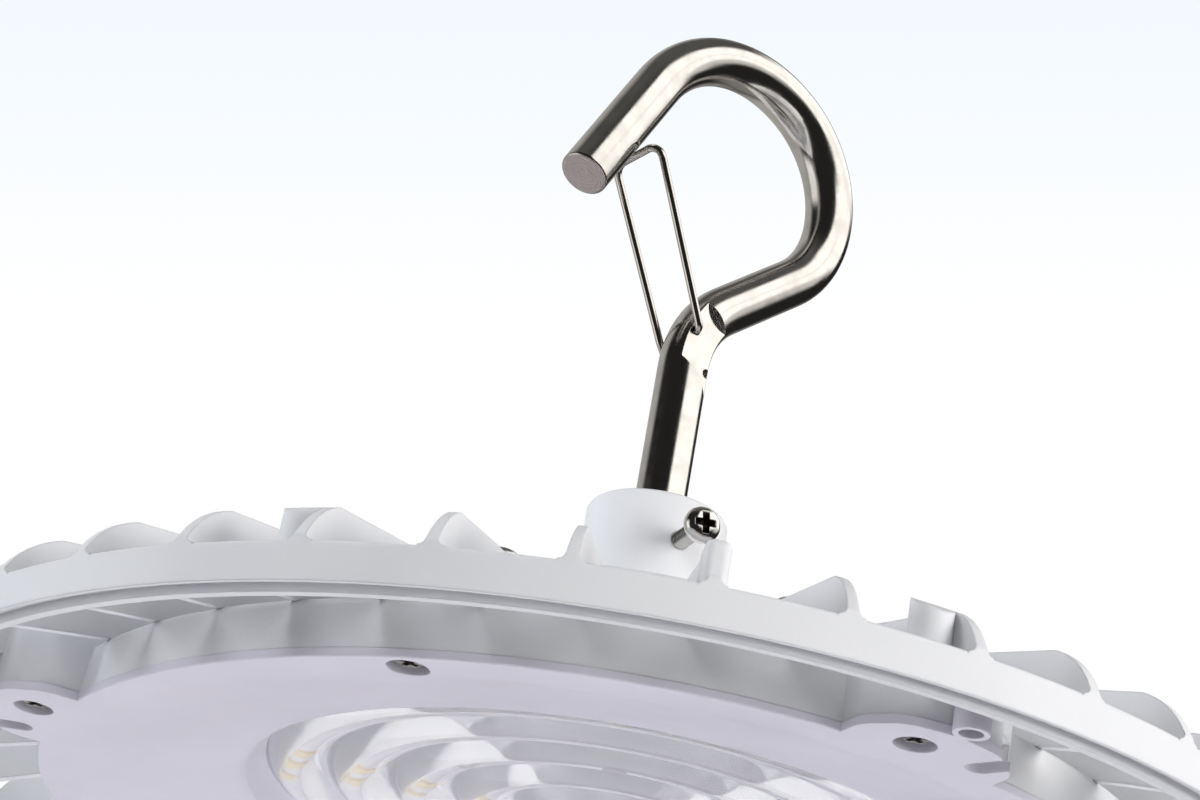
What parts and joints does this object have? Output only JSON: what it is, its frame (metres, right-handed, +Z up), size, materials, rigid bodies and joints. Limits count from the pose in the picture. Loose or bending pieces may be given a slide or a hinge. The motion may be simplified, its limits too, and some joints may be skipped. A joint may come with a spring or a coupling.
{
  "type": "high bay light",
  "caption": "Round finned high bay light with a ridged clear lens in a dished frame, hung from a round-bar hook that a sprung wire gate closes.",
  "frame": {"origin": "centre of the rim's bottom face, straight below the hook's straight shank", "axes": "+Z up towards the hook, light shines down along -Z; +X right and +Y away as seen from the side with the locking screw"},
  "size_m": [0.3, 0.3, 0.2048],
  "materials": {
    "casting_paint": "satin",
    "frame_paint": "satin",
    "hook_steel": "polished",
    "wire_steel": "polished",
    "lock_screw_steel": "polished",
    "screw_steel": "satin",
    "clear_lens": "gloss",
    "seal_rubber": "matte",
    "board_white": "satin",
    "chip_yellow": "satin",
    "pad_grey": "matte",
    "white_plastic": "satin",
    "lead_insulation": "satin",
    "driver_can": "satin",
    "gland_plastic": "matte"
  },
  "bodies": {
    "fixture": {"housing": "casting_paint", "driver_cover": "casting_paint", "driver_gasket": "seal_rubber", "driver_cover_screws": "screw_steel", "hook": "hook_steel", "hook_lock_screw": "lock_screw_steel", "lens_cover": "frame_paint", "ring_lens": "clear_lens", "lens_seal": "seal_rubber", "lens_gasket": "seal_rubber", "lens_screws": "screw_steel", "led_board": "board_white", "led_chips": "chip_yellow", "thermal_pad": "pad_grey", "board_screws": "screw_steel", "board_connector": "white_plastic", "led_leads": "lead_insulation", "lead_grommet": "seal_rubber", "driver_module": "driver_can", "driver_screws": "screw_steel", "terminal_block": "white_plastic", "earth_screw": "screw_steel", "gland_body": "gland_plastic", "gland_nut": "gland_plastic", "gland_seal": "seal_rubber", "breather_vent": "gland_plastic"},
    "gate": {"gate_wire": "wire_steel"}
  },
  "joints": [
    {"name": "gate_hinge", "type": "hinge", "parent": "fixture", "child": "gate", "pos_m": [-0.00087, -0.00068, 0.1263], "axis": [-0.6157, 0.788, 0], "range_deg": [0, 25], "stiffness_Nm_per_rad": 0.05, "springref_deg": -17.19}
  ]
}
